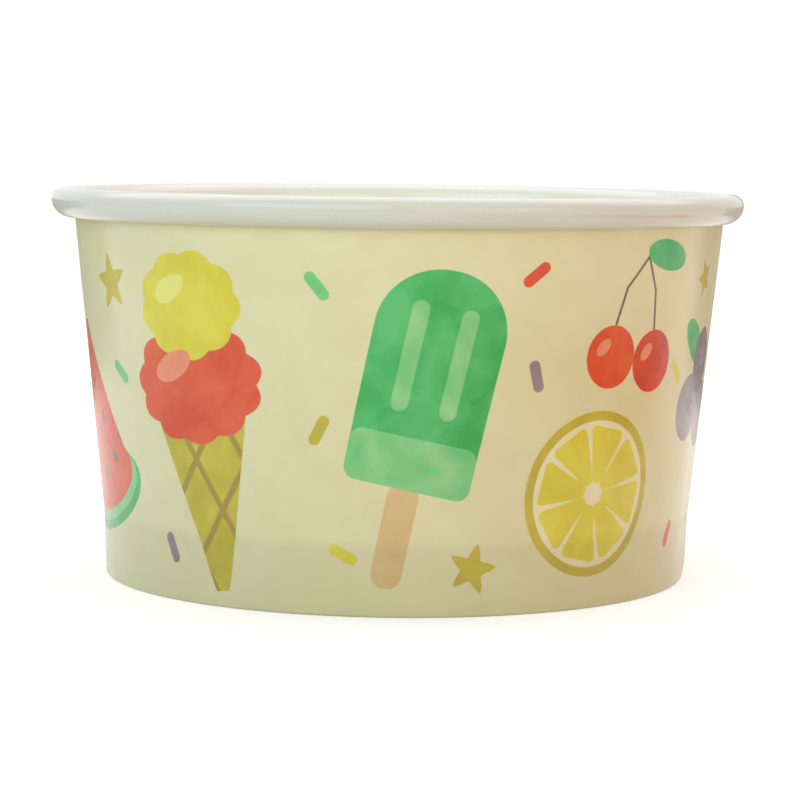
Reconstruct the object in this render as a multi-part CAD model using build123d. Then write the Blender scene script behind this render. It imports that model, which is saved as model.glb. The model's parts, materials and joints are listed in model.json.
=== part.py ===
from build123d import *
import os
from math import atan2, cos, degrees, pi, radians, sin, tan

# Paper treat tub. One board blank is wrapped into a tapered wall with a lapped seam at one side, its
# top edge is rolled outwards into a hollow rim and its lower edge is folded in and up as a hem. The
# base is a round sheet whose edge is turned down as a skirt and sealed inside that hem.
# Millimetres, Z up, origin at the middle of the foot.

# Overall sizes. The mouth is measured on the wall's outer face, carried up to the top of the rim
tub_height = 53.5
mouth_diameter = 90.6
foot_diameter = 81.0

# Sheets, and the melted coating that seals them
wall_board = 0.35
base_board = 0.30
seal_line = 0.02

# Hem: an upright band at the foot, folded round the skirt of the base
hem_height = 9.0
hem_flare = 0.36
hem_fold_inside = 0.05
hem_crease_radius = 6.0
hem_end_gap = 1.5

# Rolled rim: the bend from the wall to the top, the tuck under the roll, and the end inside it
roll_height = 4.0
roll_shoulder_inside = 1.35
roll_tuck_inside = 0.27
roll_gap = 0.08
roll_end_run = 1.6

# Base
base_bend_inside = 0.5
skirt_end_gap = 0.1

# Lapped seam, from its bearing round the axis
seam_bearing = 0.0
lap_width = 8.0
lap_ramp = 5.0

# Flats that a bend is laid in: a pressed or hidden fold, a tight bend and a quarter of the open roll
fold_flat_count = 1
bend_flat_count = 2
roll_flat_count = 3

# Worked out from the sizes above
half_wall = wall_board / 2
half_base = base_board / 2
mouth_radius = mouth_diameter / 2
foot_radius = foot_diameter / 2
hem_top_radius = foot_radius + hem_flare
hem_lean = atan2(hem_flare, hem_height)
wall_lean = atan2(mouth_radius - hem_top_radius, tub_height - hem_height)
quarter_turn = pi / 2


def sheet_section(start, heading, moves, thickness):
    """Face of a sheet's section in the XZ plane, along a path of straight runs and bends.

    A move is (length,) for a run, or (radius, turn, flats) for a bend: its turn in radians is positive
    to the left, and it is laid in equal flats from point to point of its arc. The path is the middle
    of the sheet.
    """
    stations = [(Vector(*start), heading)]
    for move in moves:
        length, turn, flats = move if len(move) == 3 else (move[0], 0, 1)
        step = turn / flats
        if turn:
            length = 2 * length * sin(abs(step) / 2)
        for _ in range(flats):
            position, heading = stations[-1]
            chord = heading + step / 2
            stations.append((position + Vector(cos(chord), sin(chord)) * length, heading + step))
    across = [Vector(-sin(heading), cos(heading)) * (thickness / 2) for _, heading in stations]
    left = [station[0] + half for station, half in zip(stations, across)]
    right = [station[0] - half for station, half in zip(stations, across)]
    return Plane.XZ * make_face(Polyline(*left, *reversed(right), close=True))


# Middle line of the wall: its corner with the hem band, and distances measured from that corner
mean_lean = (hem_lean + wall_lean) / 2
crease_turn = wall_lean - hem_lean
corner_offset = half_wall / cos(crease_turn / 2)
corner_x = hem_top_radius - corner_offset * cos(mean_lean)
corner_z = hem_height + corner_offset * sin(mean_lean)
crease_reach = hem_crease_radius * tan(crease_turn / 2)


def wall_x(z, offset):
    """Distance from the axis, at a height, of a line this far outside the wall's middle line."""
    return corner_x + (offset + (z - corner_z) * sin(wall_lean)) / cos(wall_lean)


def band_x(z):
    """Distance from the axis of the hem band's middle line at a height."""
    return corner_x - (corner_z - z) * tan(hem_lean)


# Rolled rim: four bends, then the end of the sheet tucked up inside, along the wall. Seen from the
# wall, the shoulder and the crown reach out as far as the belly, the tuck and the doubled board
nest_offset = wall_board + roll_gap
shoulder_radius = roll_shoulder_inside + half_wall
tuck_radius = roll_tuck_inside + half_wall
round_height = roll_height - wall_board
lean_gain = (round_height - tuck_radius - shoulder_radius) * sin(wall_lean)
belly_excess = (lean_gain + shoulder_radius - tuck_radius - nest_offset) / cos(wall_lean)
crown_radius = (round_height - belly_excess) / 2
belly_radius = (round_height + belly_excess) / 2
shoulder_z = tub_height - half_wall - shoulder_radius
shoulder_x = wall_x(shoulder_z, shoulder_radius)
wall_run = (shoulder_x - corner_x) * sin(wall_lean) + (shoulder_z - corner_z) * cos(wall_lean)
rim_diameter = 2 * (shoulder_x + crown_radius + half_wall)
rim_moves = [
    (shoulder_radius, wall_lean - quarter_turn, bend_flat_count),
    (crown_radius, -quarter_turn, roll_flat_count),
    (belly_radius, -quarter_turn, roll_flat_count),
    (tuck_radius, -quarter_turn - wall_lean, fold_flat_count),
    (roll_end_run,),
]

# Hem: down the inside, round the fold with its flat foot, and up the outside
fold_width = (wall_board + base_board + 2 * seal_line) / cos(hem_lean)
fold_radius = hem_fold_inside + half_wall
inner_reach = fold_radius * tan((quarter_turn + hem_lean) / 2)
outer_reach = fold_radius * tan((quarter_turn - hem_lean) / 2)
hem_end_z = hem_height - base_board - hem_end_gap
hem_moves = [
    ((hem_end_z - half_wall) / cos(hem_lean) - inner_reach,),
    (fold_radius, quarter_turn + hem_lean, fold_flat_count),
    (fold_width - inner_reach - outer_reach,),
    (fold_radius, quarter_turn - hem_lean, fold_flat_count),
    ((corner_z - half_wall) / cos(hem_lean) - outer_reach - crease_reach,),
    (hem_crease_radius, -crease_turn, fold_flat_count),
]

# Side wall without its lap
hem_end = (band_x(hem_end_z) - fold_width, hem_end_z)
wall_moves = hem_moves + [(wall_run - crease_reach,)] + rim_moves
wall_section = sheet_section(hem_end, -quarter_turn - hem_lean, wall_moves, wall_board)
plain_wall = revolve(wall_section, Axis.Z)

# Lapped seam: the outer end of the blank ramps up over the inner end and stops at a raw edge
lap_turn = lap_width / foot_radius
ramp_turn = lap_ramp / foot_radius
raw_edge = radians(seam_bearing) + lap_turn / 2
ramp_top = raw_edge - lap_turn
ramp_foot = ramp_top - ramp_turn


def at_bearing(radius, bearing):
    """Point at a radius and a bearing round the axis."""
    return Vector(radius * cos(bearing), radius * sin(bearing))


def ring_arc(radius, first, last):
    """Arc about the axis, between two bearings."""
    return ThreePointArc(*[at_bearing(radius, turn) for turn in (first, (first + last) / 2, last)])


def lap_slice(level, wall_radius):
    """Level slice of the lap on a wall of this outer radius, sunk half a board into it."""
    sunk = wall_radius - half_wall
    proud = wall_radius + wall_board
    outline = [
        ring_arc(sunk, ramp_foot, raw_edge),
        Line(at_bearing(sunk, raw_edge), at_bearing(proud, raw_edge)),
        ring_arc(proud, raw_edge, ramp_top),
        Line(at_bearing(proud, ramp_top), at_bearing(sunk, ramp_foot)),
    ]
    return Pos(0, 0, level) * make_face(outline)


lap_foot_z = fold_radius + half_wall
lap_head_z = tub_height - roll_height
lap_slices = [
    lap_slice(lap_foot_z, foot_radius + lap_foot_z * tan(hem_lean)),
    lap_slice(hem_height, hem_top_radius),
    lap_slice(lap_head_z, mouth_radius - roll_height * tan(wall_lean)),
]
side_wall = plain_wall + loft(lap_slices, ruled=True)

# Base disc: flat, bent down at its edge, with a skirt against the inside of the hem band
base_z = hem_height - half_base
skirt_inset = (half_wall + seal_line + half_base) / cos(hem_lean)
bend_radius = base_bend_inside + half_base
bend_turn = quarter_turn + hem_lean
bend_reach = bend_radius * tan(bend_turn / 2)
skirt_end_z = wall_board + skirt_end_gap
base_moves = [
    (band_x(base_z) - skirt_inset - bend_reach,),
    (bend_radius, -bend_turn, bend_flat_count),
    ((base_z - skirt_end_z) / cos(hem_lean) - bend_reach,),
]
base_disc = revolve(sheet_section((0, base_z), 0, base_moves, base_board), Axis.Z)

os.makedirs("parts", exist_ok=True)
export_step(side_wall, "parts/side_wall.step")
export_step(base_disc, "parts/base_disc.step")
print(f"rim {rim_diameter:.2f} across, wall leaning out by {degrees(wall_lean):.2f} degrees")
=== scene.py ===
# %% [markdown]
# # A paper treat tub
# The tub is two sheets of board. One blank is wrapped into a tapered wall, lapped at one side, rolled
# outwards at the top and folded in and up at the foot. A round sheet with its edge turned down is sealed
# inside that fold as the base. The imported model holds both at their real size, so it is loaded first.

# %% Load the imported model
import json
import math

import bpy
from mathutils import Matrix, Vector


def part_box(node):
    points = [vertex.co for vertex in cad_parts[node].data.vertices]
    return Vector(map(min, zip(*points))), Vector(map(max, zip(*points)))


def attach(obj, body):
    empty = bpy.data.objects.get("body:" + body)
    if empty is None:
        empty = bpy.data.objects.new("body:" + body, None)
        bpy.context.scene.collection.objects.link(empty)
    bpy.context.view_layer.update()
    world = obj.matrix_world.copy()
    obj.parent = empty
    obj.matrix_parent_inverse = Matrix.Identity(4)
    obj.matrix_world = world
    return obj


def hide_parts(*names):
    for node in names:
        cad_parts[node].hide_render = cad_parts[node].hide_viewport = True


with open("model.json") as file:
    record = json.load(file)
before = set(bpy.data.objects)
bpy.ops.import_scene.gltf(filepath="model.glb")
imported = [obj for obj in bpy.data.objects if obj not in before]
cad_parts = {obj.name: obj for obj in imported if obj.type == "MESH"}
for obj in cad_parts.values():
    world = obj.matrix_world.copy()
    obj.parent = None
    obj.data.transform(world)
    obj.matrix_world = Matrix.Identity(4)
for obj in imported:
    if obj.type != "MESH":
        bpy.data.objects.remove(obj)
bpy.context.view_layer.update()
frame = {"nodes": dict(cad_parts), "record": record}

MM = 0.001
scene = bpy.context.scene
scene.view_settings.view_transform = "Standard"
print("nodes:", ", ".join(frame["nodes"]))

# %% [markdown]
# ## The camera
# The photograph was taken with a long lens from a little above the rim: the near and the far edge of
# the rim nearly meet. A camera can be set by eye, or worked out. This one was worked out, from the
# ratio of the rim's width to the foot's and from the depth of the curve at the foot.

# %% Camera
camera_distance = 381.15 * MM
camera_height = 60.36 * MM
camera_dip = math.radians(5.450)
camera_swing = math.radians(0.092)
camera_roll = math.radians(0.685)
camera_lens = 122.2
camera_sensor = 36.0

camera = bpy.data.objects.new("camera", bpy.data.cameras.new("camera"))
camera.data.lens = camera_lens
camera.data.sensor_width = camera_sensor
camera.matrix_world = (
    Matrix.Translation((0, -camera_distance, camera_height))
    @ Matrix.Rotation(-camera_swing, 4, "Z")
    @ Matrix.Rotation(math.pi / 2 - camera_dip, 4, "X")
    @ Matrix.Rotation(camera_roll, 4, "Z")
)
scene.collection.objects.link(camera)
scene.camera = camera
print("camera at", [round(x / MM) for x in camera.location], "mm, lens", camera_lens, "mm")

# %% [markdown]
# ## One way to add nodes
# Every material, the floor and the wrapping tree below are node trees. One small function adds a node,
# sets its properties and fills its inputs, each with a plain value or with another node's output. It
# returns the node's first output that is in use, so that one call can feed the next.

# %% Helpers for node trees and colours
def add_node(tree, kind, inputs=None, **settings):
    """Add a node; inputs are given by identifier, name or number, as values or as outputs to link."""
    node = tree.nodes.new(kind)
    for name, value in settings.items():
        setattr(node, name, value)
    by_key = {socket.name: socket for socket in reversed(node.inputs)}
    by_key.update({socket.identifier: socket for socket in node.inputs})
    by_key.update(enumerate(node.inputs))
    for key, value in (inputs or {}).items():
        if isinstance(value, bpy.types.NodeSocket):
            tree.links.new(value, by_key[key])
        else:
            by_key[key].default_value = value
    return next((socket for socket in node.outputs if socket.enabled), None)


def linear(code):
    """Linear colour of an sRGB hex code."""
    shares = [int(code[i : i + 2], 16) / 255 for i in (1, 3, 5)]
    return (*[s / 12.92 if s <= 0.04045 else ((s + 0.055) / 1.055) ** 2.4 for s in shares], 1.0)


def new_tree(name, kind, inputs, outputs):
    """Node group with named sockets; returns the tree and the outputs of its input node."""
    tree = bpy.data.node_groups.new(name, kind)
    for label, socket in inputs.items():
        tree.interface.new_socket(label, in_out="INPUT", socket_type=socket)
    for label, socket in outputs.items():
        tree.interface.new_socket(label, in_out="OUTPUT", socket_type=socket)
    return tree, tree.nodes.new("NodeGroupInput").outputs


def new_material(name):
    """Material with an empty node tree; returns both."""
    material = bpy.data.materials.new(name)
    material.use_nodes = True
    material.node_tree.nodes.clear()
    return material, material.node_tree


print("mid grey reads as", [round(c, 3) for c in linear("#808080")[:3]])

# %% [markdown]
# ## The white backdrop
# The photograph is cut out on white. A white backdrop could be made by more light, but that would
# bleach the tub, so the world and the floor are lifted to white only for the rays that look at them:
# the camera's, and those that the glossy coating sends back. Round the foot, where the shadow falls,
# the floor is lifted less. From below it lets the camera through, so the base can be seen.

# %% World and floor
def seen_directly(tree):
    """1 for rays from the camera or from a reflection, 0 for the rays that light the tub."""
    path = add_node(tree, "ShaderNodeLightPath").node.outputs
    looking = {0: path["Is Camera Ray"], 1: path["Is Glossy Ray"]}
    return add_node(tree, "ShaderNodeMath", looking, use_clamp=True)


world_light = 0.405
world = bpy.data.worlds.new("studio")
world.use_nodes = True
tree = world.node_tree
tree.nodes.clear()
strength = add_node(
    tree, "ShaderNodeMapRange", {"Value": seen_directly(tree), "To Min": world_light, "To Max": 1.0}
)
backdrop = add_node(tree, "ShaderNodeBackground", {"Color": linear("#FFFFFF"), "Strength": strength})
add_node(tree, "ShaderNodeOutputWorld", {"Surface": backdrop})
scene.world = world

# Lengths in metres. The lift grows from the near reach, at the foot, to the far one
floor_radius = 0.7
floor_corners = 96
near_reach = 0.042
near_lift = 0.47
far_reach = 0.10
far_lift = 0.69

white_floor, tree = new_material("white_paper_floor")
paper = add_node(tree, "ShaderNodeBsdfDiffuse", {"Color": linear("#D8D8D4")})
here = add_node(tree, "ShaderNodeTexCoord").node.outputs["Object"]
away = add_node(tree, "ShaderNodeVectorMath", {0: here}, operation="LENGTH").node.outputs["Value"]
lift_by_reach = {
    "Value": away,
    "From Min": near_reach,
    "From Max": far_reach,
    "To Min": near_lift,
    "To Max": far_lift,
}
floor_lift = add_node(tree, "ShaderNodeMapRange", lift_by_reach)
lift = add_node(tree, "ShaderNodeMath", {0: seen_directly(tree), 1: floor_lift}, operation="MULTIPLY")
glow = add_node(tree, "ShaderNodeEmission", {"Strength": lift})
top = add_node(tree, "ShaderNodeAddShader", {0: paper, 1: glow})
below = add_node(tree, "ShaderNodeNewGeometry").node.outputs["Backfacing"]
clear = add_node(tree, "ShaderNodeBsdfTransparent")
floor_shader = add_node(tree, "ShaderNodeMixShader", {0: below, 1: top, 2: clear})
add_node(tree, "ShaderNodeOutputMaterial", {"Surface": floor_shader})

bpy.ops.mesh.primitive_circle_add(vertices=floor_corners, radius=floor_radius, fill_type="NGON")
floor = bpy.context.object
floor.name = "floor"
floor.data.materials.append(white_floor)
print("floor", 2 * floor_radius, "m across")

# %% [markdown]
# ## Cards beside the tub
# A glossy wall on white would fade into it at both sides. A photographer stands a grey card behind it,
# and so does this scene: the camera looks through the card, but the coating mirrors it where the wall
# turns away. A low orange card at the right front warms that side from below.

# %% Cards
def stand_card(name, colour, radius, height, middle, half_turn, folds=24):
    """Card curved round the tub, in metres and degrees; the camera and the lamps see through it."""
    bearings = [math.radians(middle + half_turn * (2 * i / folds - 1)) for i in range(folds + 1)]
    foot_line = [(radius * math.cos(b), radius * math.sin(b)) for b in bearings]
    mesh = bpy.data.meshes.new(name)
    mesh.from_pydata(
        [(x, y, z) for x, y in foot_line for z in (0, height)],
        [],
        [(2 * i, 2 * i + 2, 2 * i + 3, 2 * i + 1) for i in range(folds)],
    )
    material, tree = new_material(name)
    paint = add_node(tree, "ShaderNodeBsdfDiffuse", {"Color": linear(colour)})
    add_node(tree, "ShaderNodeOutputMaterial", {"Surface": paint})
    mesh.materials.append(material)
    card = bpy.data.objects.new(name, mesh)
    card.visible_camera = False
    card.visible_shadow = False
    scene.collection.objects.link(card)
    return card


cards = [
    stand_card("grey_card", "#BAB5A8", radius=0.22, height=0.050, middle=95, half_turn=60),
    stand_card("orange_card", "#F0A050", radius=0.12, height=0.018, middle=-33, half_turn=40),
]
print("cards:", ", ".join(card.name for card in cards))

# %% [markdown]
# ## Light
# The photograph was lit softly: cool from the left, warm from the right, and from above, which draws a
# bright line along the top of the rim. Bare lamps would give hard shadows, so each light is a large
# softbox that faces the tub. Their level is one at which a colour renders about as it is written.

# %% Softboxes
# Each softbox: where it stands (m), its width and height (m), its power (W) and its tint
softboxes = {
    "skylight": ((0.0, 0.27, 0.76), (2.2, 0.80), 8.5, "#FFF6F4"),
    "window": ((-0.66, -1.08, 0.50), (1.3, 0.8), 7.2, "#D2F8FF"),
    "room": ((0.60, -1.06, 0.25), (1.0, 0.5), 3.6, "#FFCC92"),
}
tub_middle = Vector((0, 0, 0.03))
for name, (place, size, power, tint) in softboxes.items():
    lamp = bpy.data.lights.new(name, "AREA")
    lamp.shape = "RECTANGLE"
    lamp.size, lamp.size_y = size
    lamp.energy = power
    lamp.color = linear(tint)[:3]
    box = bpy.data.objects.new(name, lamp)
    box.location = place
    box.rotation_mode = "QUATERNION"
    box.rotation_quaternion = (tub_middle - box.location).to_track_quat("-Z", "Y")
    scene.collection.objects.link(box)
print("softboxes:", ", ".join(softboxes))

# %% [markdown]
# ## Shapes that ink can take
# The wall is printed flat, before it is wrapped, so the print lives in the plane of the blank: across
# it in millimetres from the middle of the front, and up it from the foot. An image could carry the
# artwork. Here each printed shape is worked out from its size instead, so it stays sharp at any
# distance. Two small groups are enough. The first is a bar, with rounded corners and one end narrower
# than the other.

# %% Ink bar
ink_spread = 0.07
soft_edge = {"From Min": ink_spread, "From Max": -ink_spread}
mask_out = {"Mask": "NodeSocketFloat"}

bar_group, given = new_tree(
    "ink bar",
    "ShaderNodeTree",
    {
        "Place": "NodeSocketVector",
        "Half size": "NodeSocketVector",
        "Corner": "NodeSocketFloat",
        "Foot share": "NodeSocketFloat",
    },
    mask_out,
)
place = add_node(bar_group, "ShaderNodeSeparateXYZ", {"Vector": given["Place"]}).node.outputs
half = add_node(bar_group, "ShaderNodeSeparateXYZ", {"Vector": given["Half size"]}).node.outputs
down = add_node(bar_group, "ShaderNodeMath", {0: half["Y"], 1: -1.0}, operation="MULTIPLY")
width = add_node(
    bar_group,
    "ShaderNodeMapRange",
    {"Value": place["Y"], "From Min": down, "From Max": half["Y"], "To Min": given["Foot share"]},
)
across = add_node(bar_group, "ShaderNodeMath", {0: place["X"], 1: width}, operation="DIVIDE")
upright = add_node(bar_group, "ShaderNodeCombineXYZ", {"X": across, "Y": place["Y"]})
folded = add_node(bar_group, "ShaderNodeVectorMath", {0: upright}, operation="ABSOLUTE")
outside = add_node(
    bar_group, "ShaderNodeVectorMath", {0: folded, 1: given["Half size"]}, operation="SUBTRACT"
)
corner = add_node(bar_group, "ShaderNodeCombineXYZ", {"X": given["Corner"], "Y": given["Corner"]})
beyond = add_node(bar_group, "ShaderNodeVectorMath", {0: outside, 1: corner}, operation="ADD")
clipped = add_node(bar_group, "ShaderNodeVectorMath", {0: beyond, 1: (0, 0, 0)}, operation="MAXIMUM")
reach = add_node(
    bar_group, "ShaderNodeVectorMath", {0: clipped}, operation="LENGTH"
).node.outputs["Value"]
distance = add_node(bar_group, "ShaderNodeMath", {0: reach, 1: given["Corner"]}, operation="SUBTRACT")
mask = add_node(bar_group, "ShaderNodeMapRange", {"Value": distance, **soft_edge})
add_node(bar_group, "NodeGroupOutput", {"Mask": mask})
print(bar_group.name, "takes", ", ".join(socket.name for socket in given if socket.name))

# %% [markdown]
# The second is a rosette: an oval whose edge may be scalloped or drawn out into points. Its edge moves
# in and out with a sine of the turn round its middle, so one group gives discs, clouds and stars.

# %% Ink rosette
rosette_group, given = new_tree(
    "ink rosette",
    "ShaderNodeTree",
    {
        "Place": "NodeSocketVector",
        "Half size": "NodeSocketVector",
        "Lobes": "NodeSocketFloat",
        "Points share": "NodeSocketFloat",
    },
    mask_out,
)
unit = add_node(
    rosette_group, "ShaderNodeVectorMath", {0: given["Place"], 1: given["Half size"]}, operation="DIVIDE"
)
place = add_node(rosette_group, "ShaderNodeSeparateXYZ", {"Vector": unit}).node.outputs
turn = add_node(rosette_group, "ShaderNodeMath", {0: place["X"], 1: place["Y"]}, operation="ARCTAN2")
half_lobes = add_node(rosette_group, "ShaderNodeMath", {0: given["Lobes"], 1: 0.5}, operation="MULTIPLY")
phase = add_node(rosette_group, "ShaderNodeMath", {0: turn, 1: half_lobes}, operation="MULTIPLY")
wave = add_node(rosette_group, "ShaderNodeMath", {0: phase}, operation="SINE")
lobe = add_node(rosette_group, "ShaderNodeMath", {0: wave}, operation="ABSOLUTE")
inward = add_node(
    rosette_group, "ShaderNodeMath", {0: lobe, 1: given["Points share"]}, operation="MULTIPLY"
)
radius = add_node(
    rosette_group, "ShaderNodeVectorMath", {0: unit}, operation="LENGTH"
).node.outputs["Value"]
excess = add_node(rosette_group, "ShaderNodeMath", {0: radius, 1: inward}, operation="ADD")
past = add_node(rosette_group, "ShaderNodeMath", {0: excess, 1: -1.0}, operation="ADD")
size = add_node(rosette_group, "ShaderNodeSeparateXYZ", {"Vector": given["Half size"]}).node.outputs
smaller = add_node(rosette_group, "ShaderNodeMath", {0: size["X"], 1: size["Y"]}, operation="MINIMUM")
distance = add_node(rosette_group, "ShaderNodeMath", {0: past, 1: smaller}, operation="MULTIPLY")
mask = add_node(rosette_group, "ShaderNodeMapRange", {"Value": distance, **soft_edge})
add_node(rosette_group, "NodeGroupOutput", {"Mask": mask})
print(rosette_group.name, "takes", ", ".join(socket.name for socket in given if socket.name))

# %% [markdown]
# ## Drawing with the shapes
# A motif is a list of shapes in its own millimetres, from the back to the front. Three functions name
# the shapes, a fourth draws a thin stroke between two points, and the last sets a whole motif down on
# the blank.

# %% Functions that draw
def bar(ink, middle, half_size, corner, turn=0.0, foot_share=1.0):
    """Bar with rounded corners, its foot this share of its head's width, turned by degrees."""
    numbers = {"Corner": corner, "Foot share": foot_share}
    return (bar_group, ink, Vector(middle), Vector(half_size), turn, numbers)


def rosette(ink, middle, half_size, lobes=2, points_share=0.0, turn=0.0):
    """Oval with so many lobes: points where the share is above zero, scallops where it is below."""
    numbers = {"Lobes": lobes, "Points share": points_share}
    return (rosette_group, ink, Vector(middle), Vector(half_size), turn, numbers)


def disc(ink, middle, radius):
    """Plain round spot."""
    return rosette(ink, middle, (radius, radius))


def stroke(ink, start, end, width):
    """Thin line with round ends."""
    run = Vector(end) - Vector(start)
    middle = (Vector(start) + Vector(end)) / 2
    half_size = (width / 2, (run.length + width) / 2)
    return bar(ink, middle, half_size, width / 2, math.degrees(math.atan2(-run.x, run.y)))


def set_down(motif, middle, turn=0.0, scale=1.0):
    """The motif's shapes on the blank, turned by degrees about the motif's own origin."""
    spin = Matrix.Rotation(math.radians(turn), 2)
    return [
        (
            group,
            ink,
            Vector(middle) + spin @ (place * scale),
            half_size * scale,
            own_turn + turn,
            {**numbers, "Corner": numbers["Corner"] * scale} if "Corner" in numbers else numbers,
        )
        for group, ink, place, half_size, own_turn, numbers in motif
    ]


print("a disc is drawn by", disc("gold", (0, 0), 1)[0].name)

# %% [markdown]
# ## The motifs
# A treat tub carries a cheerful print. This one is made up for it: an ice-cream cone, an ice lolly, a
# slice of lemon and one of melon, cherries, berries, and stars and sprinkles between them.

# %% Motifs
cone = [
    bar("waffle", (0, 10), (6.8, 10.4), 0.9, foot_share=0.14),
    rosette("coral", (0, 23.2), (8.4, 6.4), lobes=11, points_share=-0.10),
    rosette("yellow", (0.6, 31.8), (6.6, 5.6), lobes=9, points_share=-0.10),
    rosette("lemon", (-1.6, 33.8), (2.5, 1.3), turn=24),
    rosette("rose", (-2.8, 25.2), (3.0, 1.5), turn=20),
]
lolly = [
    bar("wood", (0, -14.5), (1.8, 6.0), 1.7),
    bar("leaf", (0, 3.2), (7.2, 12.2), 7.0),
    bar("leaf", (0, -5.0), (7.2, 4.2), 1.4),
    bar("mint", (0, -6.3), (7.2, 2.9), 1.4),
    bar("mint", (-2.7, 5.4), (0.95, 6.2), 0.95),
    bar("mint", (2.7, 5.4), (0.95, 6.2), 0.95),
]

segments = 8
segment_reach = 4.5
lemon_slice = [disc("gold", (0, 0), 9.6), disc("pith", (0, 0), 8.5)]
for k in range(segments):
    bearing = 2 * math.pi * (k + 0.5) / segments
    middle = (segment_reach * math.sin(bearing), segment_reach * math.cos(bearing))
    lemon_slice.append(bar("yellow", middle, (2.75, 3.2), 0.9, -math.degrees(bearing), foot_share=0.22))

stalk_width = 0.42
cherries = [
    stroke("line", (-4.0, 3.4), (-1.6, 9.6), stalk_width),
    stroke("line", (-1.6, 9.6), (2.6, 13.6), stalk_width),
    stroke("line", (4.6, 2.0), (4.4, 8.6), stalk_width),
    stroke("line", (4.4, 8.6), (2.6, 13.6), stalk_width),
    rosette("leaf", (7.2, 13.4), (4.9, 2.2), turn=-14),
    disc("coral", (-4.2, 0), 4.5),
    disc("cherry", (4.6, -1.6), 4.5),
    rosette("rose", (-5.7, 1.5), (1.5, 0.9), turn=40),
    rosette("rose", (3.1, -0.1), (1.5, 0.9), turn=40),
]
berries = [
    rosette("leaf", (-4.2, 8.6), (4.4, 2.0), turn=148),
    disc("mauve", (-3.4, 0.6), 4.2),
    disc("mauve", (4.2, 0), 4.2),
    disc("dusk", (0.6, 6.6), 4.2),
]
for ink, middle in (("dusk", (-3.0, 1.0)), ("dusk", (4.8, 0.6)), ("mauve", (1.0, 7.4))):
    berries.append(rosette(ink, middle, (1.8, 1.8), lobes=5, points_share=0.5))

melon = [
    rosette("leaf", (0, 0), (11.4, 5.2)),
    rosette("mint", (0, 0.6), (10.6, 4.6)),
    rosette("coral", (0, 1.6), (9.8, 4.4)),
    bar("coral", (0, 11.2), (9.7, 10.0), 1.0, turn=180, foot_share=0.10),
]
seeds = [
    ((-5.0, 3.2), -24),
    ((0, 1.8), 0),
    ((5.0, 3.2), 24),
    ((-2.4, 8.2), -12),
    ((2.6, 8.4), 12),
    ((0, 13.2), 0),
]
for middle, turn in seeds:
    melon.append(rosette("line", middle, (0.55, 1.0), turn=turn))

star = [rosette("gold", (0, 0), (4.0, 4.0), lobes=5, points_share=0.52)]
sprinkle_inks = ("coral", "mint", "yellow", "mauve", "gold")
sprinkle = {ink: [bar(ink, (0, 0), (0.75, 2.1), 0.75)] for ink in sprinkle_inks}
large_motifs = (cone, lolly, lemon_slice, cherries, berries, melon)
print(sum(map(len, large_motifs)), "shapes in the large motifs")

# %% [markdown]
# ## Laying out the blank
# The design comes twice round the tub, so it is laid out once, on half of the blank. Large motifs come
# first and small ones fill the gaps, with room left for the plain ground.

# %% Layout
repeats = 2
blank_radius = 42.7
tile_width = 2 * math.pi * blank_radius / repeats

layout = [
    *set_down(cone, (-24.5, 2.6), 7, 1.16),
    *set_down(lolly, (3.5, 27.0), -12, 1.16),
    *set_down(lemon_slice, (28.5, 15.2), 10, 1.14),
    *set_down(cherries, (33.5, 33.4), 4, 0.92),
    *set_down(melon, (-52.5, 13.0), 14, 1.1),
    *set_down(berries, (54.5, 24.0), -6, 1.1),
    *set_down(star, (-44.0, 41.5), 8),
    *set_down(star, (10.5, 6.2), -14, 0.85),
    *set_down(star, (52.0, 42.6), 20, 0.7),
    *set_down(star, (-63.5, 37.0), -6, 0.7),
]
sprinkles = [
    ("mint", (-9.8, 42.4), 38),
    ("coral", (17.4, 44.0), -50),
    ("yellow", (-6.8, 8.0), 62),
    ("mauve", (18.2, 31.0), 15),
    ("gold", (-9.8, 24.0), -28),
    ("mint", (-43.2, 29.6), 55),
    ("coral", (48.0, 8.0), -35),
    ("mauve", (-33.6, 7.0), 24),
    ("yellow", (44.6, 30.4), 40),
    ("gold", (62.0, 9.6), 10),
    ("coral", (64.5, 45.0), -60),
]
for ink, middle, turn in sprinkles:
    layout += set_down(sprinkle[ink], middle, turn)
print(len(layout), "shapes on", round(tile_width, 1), "mm of the blank")

# %% [markdown]
# ## The inks
# The wall is paperboard, printed in flat inks that dried a little unevenly, like watercolour, so the
# eye gets a faint mottle in each. A flat colour would look like plastic. Each ink has two hex colours,
# one where it dried thin and one where it pooled, and one noise mixes them all.

# %% Inks
# Each ink where it dried thin and where it pooled
inks = {
    "ground": ("#E6E0B6", "#E2DBAF"),
    "leaf": ("#58C274", "#2BAC54"),
    "mint": ("#9AD492", "#6AC77E"),
    "coral": ("#E8633A", "#DC4420"),
    "cherry": ("#DE4F34", "#CA3722"),
    "rose": ("#F2A080", "#EC8460"),
    "yellow": ("#E6DA4A", "#DACB2E"),
    "lemon": ("#EFE884", "#E8DF6C"),
    "gold": ("#D0C044", "#C0AE30"),
    "pith": ("#F0E9C4", "#ECE4B8"),
    "mauve": ("#A5939A", "#8F7D88"),
    "dusk": ("#867886", "#706272"),
    "wood": ("#E3C48F", "#D9B77E"),
    "line": ("#7A6650", "#5E4C3C"),
}
pool_size = 7.0

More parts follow.
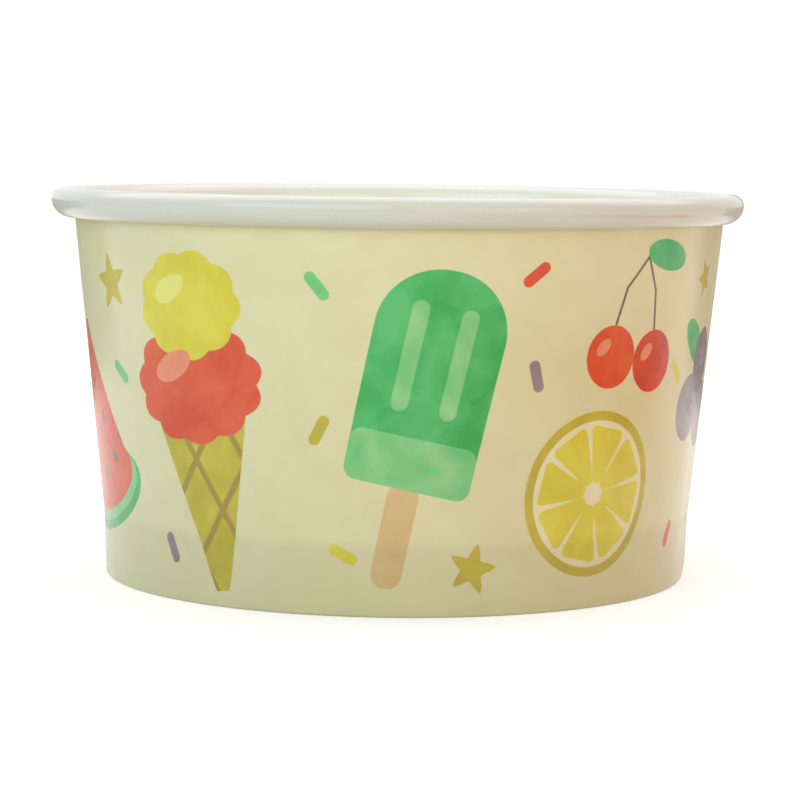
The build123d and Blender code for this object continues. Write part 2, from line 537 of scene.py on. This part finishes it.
printed_board, print_tree = new_material("printed_coated_paperboard")
blank = add_node(print_tree, "ShaderNodeAttribute", attribute_name="blank").node.outputs["Vector"]
pools = add_node(
    print_tree,
    "ShaderNodeTexNoise",
    {"Vector": blank, "Scale": 1 / pool_size, "Detail": 5.0, "Roughness": 0.55, "Distortion": 0.6},
)
pooled = add_node(print_tree, "ShaderNodeMapRange", {"Value": pools, "From Min": 0.36, "From Max": 0.64})
ink_colour = {
    ink: add_node(
        print_tree,
        "ShaderNodeMix",
        {"Factor_Float": pooled, "A_Color": linear(thin), "B_Color": linear(thick)},
        data_type="RGBA",
    )
    for ink, (thin, thick) in inks.items()
}

# The waffle is gold with darker lines both ways, each fully dark over the core of its width
waffle_spacing = 3.4
waffle_lean = 32
waffle_line = "#A8913A"
waffle_line_share = 0.16
waffle_core_share = 0.6

waffle = ink_colour["gold"]
for lean in (waffle_lean, -waffle_lean):
    turned = add_node(
        print_tree,
        "ShaderNodeMapping",
        {"Vector": blank, "Rotation": (0, 0, math.radians(lean)), "Scale": (1 / waffle_spacing,) * 3},
    )
    along = add_node(print_tree, "ShaderNodeSeparateXYZ", {"Vector": turned})
    saw = add_node(print_tree, "ShaderNodeMath", {0: along, 1: 1.0}, operation="PINGPONG")
    line_edge = {"From Min": waffle_line_share, "From Max": waffle_line_share * waffle_core_share}
    lines = add_node(print_tree, "ShaderNodeMapRange", {"Value": saw, **line_edge})
    waffle = add_node(
        print_tree,
        "ShaderNodeMix",
        {"Factor_Float": lines, "A_Color": waffle, "B_Color": linear(waffle_line)},
        data_type="RGBA",
    )
ink_colour["waffle"] = waffle
print(len(ink_colour), "inks")

# %% [markdown]
# ## The print
# Every shape of the layout lays its ink over what is below it, from the ground up. The layout covers
# half of the blank, so a wrapped coordinate starts it over on the other half.
# Light that comes through the board from inside, more towards the mouth, is painted into the colour: the
# print is painted a shade darker towards the foot. The hem, three boards deep, lets none through, so a
# band on it is painted a shade darker still: painted shade.

# %% Print
flat = add_node(print_tree, "ShaderNodeSeparateXYZ", {"Vector": blank}).node.outputs
half_tile = tile_width / 2
local = add_node(
    print_tree, "ShaderNodeMath", {0: flat["X"], 1: half_tile, 2: -half_tile}, operation="WRAP"
)
tile = add_node(print_tree, "ShaderNodeCombineXYZ", {"X": local, "Y": flat["Y"]})

colour = ink_colour["ground"]
for group, ink, middle, half_size, turn, numbers in layout:
    placed = add_node(
        print_tree,
        "ShaderNodeMapping",
        {"Vector": tile, "Location": (*middle, 0), "Rotation": (0, 0, math.radians(turn))},
        vector_type="TEXTURE",
    )
    shape_inputs = {"Place": placed, "Half size": (*half_size, 1), **numbers}
    mask = add_node(print_tree, "ShaderNodeGroup", shape_inputs, node_tree=group)
    colour = add_node(
        print_tree,
        "ShaderNodeMix",
        {"Factor_Float": mask, "A_Color": colour, "B_Color": ink_colour[ink]},
        data_type="RGBA",
    )

# Levels up the blank from the foot (mm), and the shares of the colour left at the base and on the hem by
# the painted shade
base_level = 9.8
mouth_level = 48.0
hem_shade_fade = 1.3
painted_foot_shade_share = 0.93
painted_hem_shade_share = 0.89

# Painted light and shade: darker towards the foot, and a shade darker still on the hem band
painted_through_light = add_node(
    print_tree,
    "ShaderNodeMapRange",
    {"Value": flat["Y"], "From Min": base_level, "From Max": mouth_level, "To Min": painted_foot_shade_share},
)
painted_hem_shade = add_node(
    print_tree,
    "ShaderNodeMapRange",
    {"Value": flat["Y"], "From Min": base_level - hem_shade_fade, "From Max": base_level, "To Min": painted_hem_shade_share},
)
tone = add_node(print_tree, "ShaderNodeMath", {0: painted_through_light, 1: painted_hem_shade}, operation="MULTIPLY")
painted_shade_colour = add_node(print_tree, "ShaderNodeVectorMath", {0: colour, "Scale": tone}, operation="SCALE")
print("the print so far has", len(print_tree.nodes), "nodes")

# %% [markdown]
# ## The coating
# The print is sealed with a thin clear coating, rolled on. The eye gets a satin sheen that grows pale
# at the edges, where the wall turns away, and in it the slow waves of thin board. One Principled shader
# with the coating's own gloss gives both, and two bumps tilt it.

# %% Coating
# Fibres of paper are a few hundredths of a millimetre wide, too fine to show, so they are drawn coarser
fibre_size = 0.35
wave_size = 14.0
wave_depth = 0.3

fibres = add_node(
    print_tree,
    "ShaderNodeTexNoise",
    {"Vector": blank, "Scale": 1 / fibre_size, "Detail": 3.0, "Roughness": 0.6},
)
sheen = add_node(print_tree, "ShaderNodeMapRange", {"Value": fibres, "To Min": 0.20, "To Max": 0.30})
waves = add_node(
    print_tree, "ShaderNodeTexNoise", {"Vector": blank, "Scale": 1 / wave_size, "Detail": 1.0}
)
fibre_bump = add_node(
    print_tree, "ShaderNodeBump", {"Height": fibres, "Strength": 0.01, "Distance": fibre_size * MM}
)
board_bump = add_node(
    print_tree,
    "ShaderNodeBump",
    {"Height": waves, "Strength": 0.2, "Distance": wave_depth * MM, "Normal": fibre_bump},
)
coated = add_node(
    print_tree,
    "ShaderNodeBsdfPrincipled",
    {"Base Color": painted_shade_colour, "Roughness": sheen, "IOR": 1.5, "Normal": board_bump},
)
add_node(print_tree, "ShaderNodeOutputMaterial", {"Surface": coated})
print(printed_board.name, "has", len(print_tree.nodes), "nodes")

# %% [markdown]
# ## The plain board
# The other face of the blank, which shows inside the tub and round the rolled rim, and the base are the
# same bleached board under its clear coating: a soft white that leans to cream, with a fine fibre.
# The rim is painted a shade greyer than the inside: painted shade on the roll. Where the board was cut
# the coating ends, and the edge shows raw, duller and a little darker. One function makes both, because
# only their colours, their gloss and the size of their fibres differ.

# %% Plain board and raw edge
# Levels up the blank (mm) between which the inside turns into the roll, and the share of its colour left
# there by the painted shade
inside_level = 51.5
roll_level = 54.5
painted_roll_shade_share = 0.82
cut_fibre_size = 0.12


def plain_board(name, pale, shade, least_rough, most_rough, fibre):
    """Unprinted board: two close colours mottled by fibre, painted a shade greyer on the roll, with a
    sheen between two roughnesses.
    """
    material, tree = new_material(name)
    metres = add_node(tree, "ShaderNodeTexCoord").node.outputs["Object"]
    fibres = add_node(
        tree, "ShaderNodeTexNoise", {"Vector": metres, "Scale": 1 / (fibre * MM), "Detail": 4.0}
    )
    mottle = add_node(
        tree, "ShaderNodeTexNoise", {"Vector": metres, "Scale": 1 / (wave_size * MM), "Detail": 2.0}
    )
    mixed = add_node(tree, "ShaderNodeMath", {0: fibres, 1: mottle}, operation="MULTIPLY")
    tone = add_node(tree, "ShaderNodeMapRange", {"Value": mixed, "From Min": 0.1, "From Max": 0.42})
    colour = add_node(
        tree,
        "ShaderNodeMix",
        {"Factor_Float": tone, "A_Color": linear(pale), "B_Color": linear(shade)},
        data_type="RGBA",
    )
    blank = add_node(tree, "ShaderNodeAttribute", attribute_name="blank").node.outputs["Vector"]
    up_blank = add_node(tree, "ShaderNodeSeparateXYZ", {"Vector": blank}).node.outputs["Y"]
    # Painted shade: the roll is painted a shade greyer than the inside
    levels = {"From Min": inside_level, "From Max": roll_level, "To Min": 1.0, "To Max": painted_roll_shade_share}
    painted_roll_shade = add_node(tree, "ShaderNodeMapRange", {"Value": up_blank, **levels})
    painted_shade_colour = add_node(tree, "ShaderNodeVectorMath", {0: colour, "Scale": painted_roll_shade}, operation="SCALE")
    roughness = {"To Min": least_rough, "To Max": most_rough}
    sheen = add_node(tree, "ShaderNodeMapRange", {"Value": fibres, **roughness})
    bump = add_node(tree, "ShaderNodeBump", {"Height": fibres, "Strength": 0.02, "Distance": fibre * MM})
    board = add_node(
        tree,
        "ShaderNodeBsdfPrincipled",
        {"Base Color": painted_shade_colour, "Roughness": sheen, "IOR": 1.5, "Normal": bump},
    )
    add_node(tree, "ShaderNodeOutputMaterial", {"Surface": board})
    return material


white_board = plain_board("white_coated_paperboard", "#EFEFE6", "#EAEAE0", 0.16, 0.22, fibre_size)
raw_edge = plain_board("cut_edge_of_paperboard", "#E4E0D0", "#D3CDB8", 0.75, 0.9, cut_fibre_size)
print("plain boards:", white_board.name, "and", raw_edge.name)

# %% [markdown]
# ## The section of a sheet
# Cut the tub through its axis and each sheet shows as one thin bent line. The line is a walk: a run of
# some length, or a bend of some radius and turn, each in as many steps as it needs. The right-hand side
# of the walk is the printed one. Each station also carries how far along the sheet it is, and how much
# the lap, the ripple of a pressed edge and the waves of the board move it there.

# %% Section of a sheet
class Section:
    """Stations along the middle of a sheet, in the plane through the axis, in millimetres."""

    def __init__(self, start, heading, ripple=0.0):
        self.places = [Vector(start)]
        self.headings = [heading]
        self.runs = [0.0]
        self.lap = [1.0]
        self.ripple = [ripple]
        self.sway = [0.0]

    def walk(self, length, turn=0.0, steps=1, lap=1.0, ripple=0.0, sway=0.0):
        """Go on by a run, or by a bend whose radius is the length; the shares hold for its stations."""
        step = turn / steps
        chord = 2 * length * math.sin(abs(step) / 2) if turn else length / steps
        for _ in range(steps):
            aim = self.headings[-1] + step / 2
            self.places.append(self.places[-1] + chord * Vector((math.cos(aim), math.sin(aim))))
            self.headings.append(self.headings[-1] + step)
            self.runs.append(self.runs[-1] + (abs(length * step) if turn else chord))
            self.lap.append(lap)
            self.ripple.append(ripple)
            self.sway.append(sway)

    def mesh(self, name, zero_run=0.0):
        """Line of edges in metres, with the stations' values as attributes; the run stays in mm."""
        mesh = bpy.data.meshes.new(name)
        points = [(place.x * MM, 0, place.y * MM) for place in self.places]
        mesh.from_pydata(points, [(i, i + 1) for i in range(len(points) - 1)], [])
        printed_side = mesh.attributes.new("printed_side", "FLOAT_VECTOR", "POINT")
        for item, heading in zip(printed_side.data, self.headings):
            item.vector = (math.sin(heading), 0, -math.cos(heading))
        rows = {"lap": self.lap, "ripple": self.ripple, "sway": self.sway}
        rows["run"] = [run - zero_run for run in self.runs]
        for label, row in rows.items():
            mesh.attributes.new(label, "FLOAT", "POINT").data.foreach_set("value", row)
        return mesh


print("a station carries printed_side, lap, ripple, sway and run")

# %% [markdown]
# ## Sizes
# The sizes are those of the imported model. Its heights are read from the frame, and the rest follows
# from the board, the mouth and the foot. The wall is two cones that meet in a soft crease: the hem
# band, nearly upright, and the wall above it.

# %% Sizes
tub_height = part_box("side_wall")[1].z / MM
hem_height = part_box("base_disc")[1].z / MM
lid_rim = next(m for m in frame["record"]["mounts"] if m["name"] == "lid_rim")["dims"]
roll_height = lid_rim["length_mm"]
mouth_radius = 45.3
foot_radius = 40.5
wall_board_thickness = 0.35
base_board_thickness = 0.30
seal_line = 0.02
half_wall = wall_board_thickness / 2
half_base = base_board_thickness / 2

hem_flare = 0.36
hem_lean = math.atan2(hem_flare, hem_height)
wall_lean = math.atan2(mouth_radius - foot_radius - hem_flare, tub_height - hem_height)
quarter = math.pi / 2
crease_turn = wall_lean - hem_lean
mean_lean = (wall_lean + hem_lean) / 2
corner_offset = half_wall / math.cos(crease_turn / 2)
corner_x = foot_radius + hem_flare - corner_offset * math.cos(mean_lean)
corner_z = hem_height + corner_offset * math.sin(mean_lean)
leans = [round(math.degrees(lean), 2) for lean in (wall_lean, hem_lean)]
print("the wall and the hem lean by", leans, "degrees")

# %% [markdown]
# ## Section of the wall: the hem
# The walk starts at the end of the blank inside the foot, goes down, round the fold, and up the band
# to the crease. The end is knurled, because the tool that presses the hem shut has teeth.

# %% Hem
def band_x(z):
    """Distance from the axis to the middle of the hem band at a height."""
    return corner_x - (corner_z - z) * math.tan(hem_lean)


hem_fold_inside = 0.05
hem_end_gap = 1.5
crease_radius = 6.0
fold_radius = hem_fold_inside + half_wall
fold_width = (wall_board_thickness + base_board_thickness + 2 * seal_line) / math.cos(hem_lean)
inner_reach = fold_radius * math.tan((quarter + hem_lean) / 2)
outer_reach = fold_radius * math.tan((quarter - hem_lean) / 2)
crease_reach = crease_radius * math.tan(crease_turn / 2)
hem_end_z = hem_height - base_board_thickness - hem_end_gap
hem_run = (hem_end_z - half_wall) / math.cos(hem_lean) - inner_reach
band_run = (corner_z - half_wall) / math.cos(hem_lean) - outer_reach - crease_reach
knurled_share = 0.8
foot_lap_share = 0.3

hem_end = (band_x(hem_end_z) - fold_width, hem_end_z)
wall_section = Section(hem_end, -quarter - hem_lean, ripple=1.0)
wall_section.walk(hem_run * knurled_share, steps=4, ripple=1.0)
wall_section.walk(hem_run * (1 - knurled_share), steps=2)
wall_section.walk(fold_radius, quarter + hem_lean, steps=5, lap=foot_lap_share)
wall_section.walk(fold_width - inner_reach - outer_reach, lap=foot_lap_share)
foot_run = wall_section.runs[-1]
wall_section.walk(fold_radius, quarter - hem_lean, steps=5, lap=foot_lap_share)
wall_section.walk(band_run, steps=5, sway=0.2)
wall_section.walk(crease_radius, -crease_turn, steps=3, sway=0.3)
print(len(wall_section.places), "stations up to the crease")

# %% [markdown]
# ## Section of the wall: the rolled rim
# From the crease the walk goes up the wall and over into the roll. The roll is four bends: a shoulder,
# a crown, a belly and a tight tuck, after which the end of the sheet lies along the wall, inside. The
# crown and the belly are worked out so that the roll has its height and closes on the wall.

# %% Rolled rim
roll_gap = 0.08
roll_shoulder_inside = 1.35
roll_tuck_inside = 0.27
roll_end_run = 1.6
shoulder_radius = roll_shoulder_inside + half_wall
tuck_radius = roll_tuck_inside + half_wall
round_height = roll_height - wall_board_thickness
nest_offset = wall_board_thickness + roll_gap
lean_gain = (round_height - tuck_radius - shoulder_radius) * math.sin(wall_lean)
belly_excess = (lean_gain + shoulder_radius - tuck_radius - nest_offset) / math.cos(wall_lean)
crown_radius = (round_height - belly_excess) / 2
belly_radius = (round_height + belly_excess) / 2
shoulder_z = tub_height - half_wall - shoulder_radius
shoulder_rise = shoulder_z - corner_z
shoulder_x = corner_x + (shoulder_radius + shoulder_rise * math.sin(wall_lean)) / math.cos(wall_lean)
shoulder_run = (shoulder_x - corner_x) * math.sin(wall_lean) + shoulder_rise * math.cos(wall_lean)
wall_run = shoulder_run - crease_reach
roll_sway = 0.6

wall_section.walk(wall_run / 2, steps=8, sway=1.0)
wall_section.walk(wall_run / 2, steps=6, sway=0.8)
wall_section.walk(shoulder_radius, wall_lean - quarter, steps=7, sway=roll_sway)
wall_section.walk(crown_radius, -quarter, steps=8, sway=roll_sway)
wall_section.walk(belly_radius, -quarter, steps=8, sway=roll_sway)
wall_section.walk(tuck_radius, -quarter - wall_lean, steps=7, sway=roll_sway)
wall_section.walk(roll_end_run, steps=2, sway=roll_sway)
rim_radius = max(place.x for place in wall_section.places) + half_wall
print("rim radius", round(rim_radius, 2), "mm, packed", lid_rim["r_mm"])

# %% [markdown]
# ## Wrapping a sheet
# Both sheets are their section carried round the axis, so one Geometry Nodes tree makes them. A plain
# spin could too, but it can't lap. Here a grid has one column for each small step round the axis and
# one row for each station of the section. Every point finds its bearing and its station by its index.

# %% Tree that wraps a sheet: the grid
number = "NodeSocketFloat"
wrap_tree, given = new_tree(
    "wrap a sheet",
    "GeometryNodeTree",
    {
        "Section": "NodeSocketGeometry",
        "Columns": "NodeSocketInt",
        "Start bearing": number,
        "Whole turn": number,
        "Lap lift": number,
        "Lap ramp": number,
        "Ripples": number,
        "Ripple depth": number,
        "Sway": number,
        "Sway size": number,
        "Seed": number,
        "Blank radius": number,
        "Material": "NodeSocketMaterial",
    },
    {"Sheet": "NodeSocketGeometry"},
)
stations = add_node(
    wrap_tree, "GeometryNodeAttributeDomainSize", {"Geometry": given["Section"]}, component="MESH"
)
last_column = add_node(wrap_tree, "ShaderNodeMath", {0: given["Columns"], 1: 1.0}, operation="SUBTRACT")
grid = add_node(
    wrap_tree, "GeometryNodeMeshGrid", {"Vertices X": given["Columns"], "Vertices Y": stations}
)
index = add_node(wrap_tree, "GeometryNodeInputIndex")
station = add_node(wrap_tree, "ShaderNodeMath", {0: index, 1: stations}, operation="MODULO")
rows = add_node(wrap_tree, "ShaderNodeMath", {0: index, 1: stations}, operation="DIVIDE")
column = add_node(wrap_tree, "ShaderNodeMath", {0: rows}, operation="FLOOR")
passed = add_node(wrap_tree, "ShaderNodeMath", {0: column, 1: last_column}, operation="DIVIDE")
wrapped = add_node(
    wrap_tree, "ShaderNodeMath", {0: passed, 1: given["Whole turn"]}, operation="MULTIPLY"
)
bearing = add_node(
    wrap_tree, "ShaderNodeMath", {0: wrapped, 1: given["Start bearing"]}, operation="ADD"
)

looked_up = {}
for label, kind in {
    "printed_side": "FLOAT_VECTOR",
    "lap": "FLOAT",
    "ripple": "FLOAT",
    "sway": "FLOAT",
    "run": "FLOAT",
}.items():
    value = add_node(wrap_tree, "GeometryNodeInputNamedAttribute", {"Name": label}, data_type=kind)
    looked_up[label] = add_node(
        wrap_tree,
        "GeometryNodeSampleIndex",
        {"Geometry": given["Section"], "Value": value, "Index": station},
        data_type=kind,
    )
position = add_node(wrap_tree, "GeometryNodeInputPosition")
place = add_node(
    wrap_tree,
    "GeometryNodeSampleIndex",
    {"Geometry": given["Section"], "Value": position, "Index": station},
    data_type="FLOAT_VECTOR",
)
print("each point looks up its place and", ", ".join(looked_up))

# %% [markdown]
# ## Lap, ripple and waves
# Near the end of the turn the sheet climbs by its own thickness, so it passes over its beginning: the
# lapped seam. A ripple presses the knurl into the hem and the pleats into the base, and a slow noise
# makes the board a little uneven. All three move a point along the sheet's own normal, so they add up
# to one offset.

# %% Tree that wraps a sheet: the offset
full_turn = 2 * math.pi
ramp_foot = add_node(
    wrap_tree, "ShaderNodeMath", {0: full_turn, 1: given["Lap ramp"]}, operation="SUBTRACT"
)
climb = add_node(
    wrap_tree,
    "ShaderNodeMapRange",
    {"Value": wrapped, "From Min": ramp_foot, "From Max": full_turn, "To Max": given["Lap lift"]},
    interpolation_type="SMOOTHSTEP",
)
lapped = add_node(wrap_tree, "ShaderNodeMath", {0: climb, 1: looked_up["lap"]}, operation="MULTIPLY")

angle = add_node(wrap_tree, "ShaderNodeMath", {0: bearing, 1: given["Ripples"]}, operation="MULTIPLY")
crest = add_node(wrap_tree, "ShaderNodeMath", {0: angle}, operation="COSINE")
pressed = add_node(
    wrap_tree, "ShaderNodeMapRange", {"Value": crest, "From Min": -1.0, "To Max": given["Ripple depth"]}
)
rippled = add_node(
    wrap_tree, "ShaderNodeMath", {0: pressed, 1: looked_up["ripple"], 2: lapped}, operation="MULTIPLY_ADD"
)

there = add_node(
    wrap_tree, "ShaderNodeVectorRotate", {"Vector": place, "Angle": bearing}, rotation_type="Z_AXIS"
)
closeness = add_node(wrap_tree, "ShaderNodeMath", {0: 1.0, 1: given["Sway size"]}, operation="DIVIDE")
noise = add_node(
    wrap_tree,
    "ShaderNodeTexNoise",
    {"Vector": there, "W": given["Seed"], "Scale": closeness, "Detail": 1.0},
    noise_dimensions="4D",
)
unevenness = add_node(wrap_tree, "ShaderNodeMath", {0: noise, 1: 0.5}, operation="SUBTRACT")
swayed = add_node(wrap_tree, "ShaderNodeMath", {0: unevenness, 1: given["Sway"]}, operation="MULTIPLY")
moved = add_node(
    wrap_tree, "ShaderNodeMath", {0: swayed, 1: looked_up["sway"], 2: rippled}, operation="MULTIPLY_ADD"
)
offset = add_node(
    wrap_tree, "ShaderNodeVectorMath", {0: looked_up["printed_side"], "Scale": moved}, operation="SCALE"
)
settled = add_node(wrap_tree, "ShaderNodeVectorMath", {0: place, 1: offset}, operation="ADD")
turned = add_node(
    wrap_tree, "ShaderNodeVectorRotate", {"Vector": settled, "Angle": bearing}, rotation_type="Z_AXIS"
)
sheet = add_node(wrap_tree, "GeometryNodeSetPosition", {"Geometry": grid, "Position": turned})
print("the wrapping tree so far has", len(wrap_tree.nodes), "nodes")

# %% [markdown]
# ## Remembering the blank
# The print needs to know where each point lay on the flat blank, so the tree stores that: across from
# the middle of the front, and along the run. Points that fall together are merged, which closes a sheet
# that meets itself.

# %% Tree that wraps a sheet: the blank and the material
front_bearing = 1.5 * math.pi
merge_reach = 0.001
across = add_node(wrap_tree, "ShaderNodeMath", {0: bearing, 1: front_bearing}, operation="SUBTRACT")
flat_x = add_node(
    wrap_tree, "ShaderNodeMath", {0: across, 1: given["Blank radius"]}, operation="MULTIPLY"
)
flat_place = add_node(wrap_tree, "ShaderNodeCombineXYZ", {"X": flat_x, "Y": looked_up["run"]})
sheet = add_node(
    wrap_tree,
    "GeometryNodeStoreNamedAttribute",
    {"Geometry": sheet, "Name": "blank", "Value": flat_place},
    data_type="FLOAT_VECTOR",
    domain="POINT",
)
sheet = add_node(
    wrap_tree, "GeometryNodeMergeByDistance", {"Geometry": sheet, "Distance": merge_reach * MM}
)
sheet = add_node(wrap_tree, "GeometryNodeRealizeInstances", {"Geometry": sheet})
sheet = add_node(
    wrap_tree, "GeometryNodeSetMaterial", {"Geometry": sheet, "Material": given["Material"]}
)
add_node(wrap_tree, "NodeGroupOutput", {"Sheet": sheet})
print("the wrapping tree has", len(wrap_tree.nodes), "nodes")

# %% [markdown]
# ## From a wrapped sheet to a piece
# The tree gives a sheet without thickness, in the middle of the board. It is turned into a plain mesh,
# and Solidify grows the board to both sides: the printed face keeps the first material, the other face
# takes the next and the cut edges the third. That result is made a plain mesh too.

# %% Wrap a section and give it thickness
sharp_angle = 40


def settle(piece):
    """Replace the piece's mesh by what its modifiers make, and remove them."""
    graph = bpy.context.evaluated_depsgraph_get()
    mesh = bpy.data.meshes.new_from_object(piece.evaluated_get(graph))
    piece.modifiers.clear()
    piece.data = mesh


def wrap_sheet(name, section_mesh, sizes, thickness, materials):
    """Piece of board made from a section; materials are those of its front, its back and its edges."""
    piece = bpy.data.objects.new(name, section_mesh)
    scene.collection.objects.link(piece)
    wrap = piece.modifiers.new("wrap", "NODES")
    wrap.node_group = wrap_tree
    for socket in wrap_tree.interface.items_tree:
        if socket.name in sizes:
            wrap[socket.identifier] = sizes[socket.name]
        elif socket.name == "Material":
            wrap[socket.identifier] = materials[0]
    settle(piece)
    piece.data.materials.clear()
    for material in materials:
        piece.data.materials.append(material)
    board = piece.modifiers.new("board", "SOLIDIFY")
    board.thickness = thickness * MM
    board.offset = 0.0
    board.use_even_offset = True
    board.material_offset = 1
    board.material_offset_rim = 2
    settle(piece)
    piece.data.shade_smooth()
    piece.data.set_sharp_from_angle(angle=math.radians(sharp_angle))
    triangles = sum(len(face.vertices) - 2 for face in piece.data.polygons)
    print(name, "has", triangles, "triangles")
    return piece


print("edges sharper than", sharp_angle, "degrees stay crisp")

# %% [markdown]
# ## The side wall
# The wall's blank is a little longer than the way round, and the extra length is the lap. The seam
# stands at one side of the tub, so that the print meets the eye whole from the front. The columns are
# counted from the knurl, because about six to each of its teeth are enough to draw it.

# %% Side wall
seam_bearing = 0.0
lap_width = 8.0
lap_ramp_width = 5.0
lap_turn = lap_width / foot_radius
ramp_turn = lap_ramp_width / foot_radius
whole_turn = full_turn + lap_turn
knurls = 96
columns_per_knurl = 6
knurl_depth = 0.14
wall_sway = 0.30
wall_sway_size = 30

side_wall = wrap_sheet(
    "side_wall_sheet",
    wall_section.mesh("wall section", foot_run),
    {
        "Columns": round(knurls * columns_per_knurl * whole_turn / full_turn) + 1,
        "Start bearing": seam_bearing - lap_turn / 2,
        "Whole turn": whole_turn,
        "Lap lift": (wall_board_thickness + seal_line) * MM,
        "Lap ramp": ramp_turn,
        "Ripples": float(knurls),
        "Ripple depth": knurl_depth * MM,
        "Sway": wall_sway * MM,
        "Sway size": wall_sway_size * MM,
        "Seed": 4.0,
        "Blank radius": blank_radius,
    },
    wall_board_thickness,
    [printed_board, white_board, raw_edge],
)

# %% [markdown]
# ## The base
# The base is a round sheet pressed down at its edge, so its skirt stands between the wall and the hem.
# The same tree makes it, with a whole turn and no lap: the first and the last column and all the points
# at the middle fall together and are merged. The round bend gathers the board in small pleats.

# %% Base
base_bend_inside = 0.5
skirt_end_gap = 0.1
bend_radius = base_bend_inside + half_base
bend_turn = quarter + hem_lean
bend_reach = bend_radius * math.tan(bend_turn / 2)
base_z = hem_height - half_base
skirt_inset = (half_wall + seal_line + half_base) / math.cos(hem_lean)
skirt_end_z = wall_board_thickness + skirt_end_gap
skirt_run = (base_z - skirt_end_z) / math.cos(hem_lean) - bend_reach
flat_run = band_x(base_z) - skirt_inset - bend_reach

# Shares of the flat from the middle outwards: a small hub, the open flat, and the edge with its pleats
hub_share = 0.06
open_share = 0.88
edge_share = 0.02
pleated_share = 0.04
edge_sway = 0.4
bend_steps = 8
pleated_steps = 5
even_steps = bend_steps - pleated_steps

base_section = Section((0, base_z), 0)
base_section.walk(flat_run * hub_share, sway=1.0)
base_section.walk(flat_run * open_share, steps=10, sway=1.0)
base_section.walk(flat_run * edge_share, sway=edge_sway)
base_section.walk(flat_run * pleated_share, steps=2, sway=edge_sway, ripple=1.0)
base_section.walk(bend_radius, -bend_turn * pleated_steps / bend_steps, steps=pleated_steps, ripple=1.0)
base_section.walk(bend_radius, -bend_turn * even_steps / bend_steps, steps=even_steps)
base_section.walk(skirt_run, steps=4)

pleats = 60
columns_per_pleat = 6
pleat_depth = 0.05
base_sway = 0.35
base_sway_size = 26

base_disc = wrap_sheet(
    "base_sheet",
    base_section.mesh("base section"),
    {
        "Columns": pleats * columns_per_pleat + 1,
        "Start bearing": 0.0,
        "Whole turn": full_turn,
        "Lap lift": 0.0,
        "Lap ramp": ramp_turn,
        "Ripples": float(pleats),
        "Ripple depth": pleat_depth * MM,
        "Sway": base_sway * MM,
        "Sway size": base_sway_size * MM,
        "Seed": 9.0,
        "Blank radius": blank_radius,
    },
    base_board_thickness,
    [white_board, white_board, raw_edge],
)

# %% [markdown]
# ## Joining the frame
# Each sheet stands for its imported node and moves with the one body that the tub is.

# %% Ride on the frame
for piece, node, slot in (
    (side_wall, "side_wall", "printed_board"),
    (base_disc, "base_disc", "white_board"),
):
    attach(piece, "root")
    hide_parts(node)
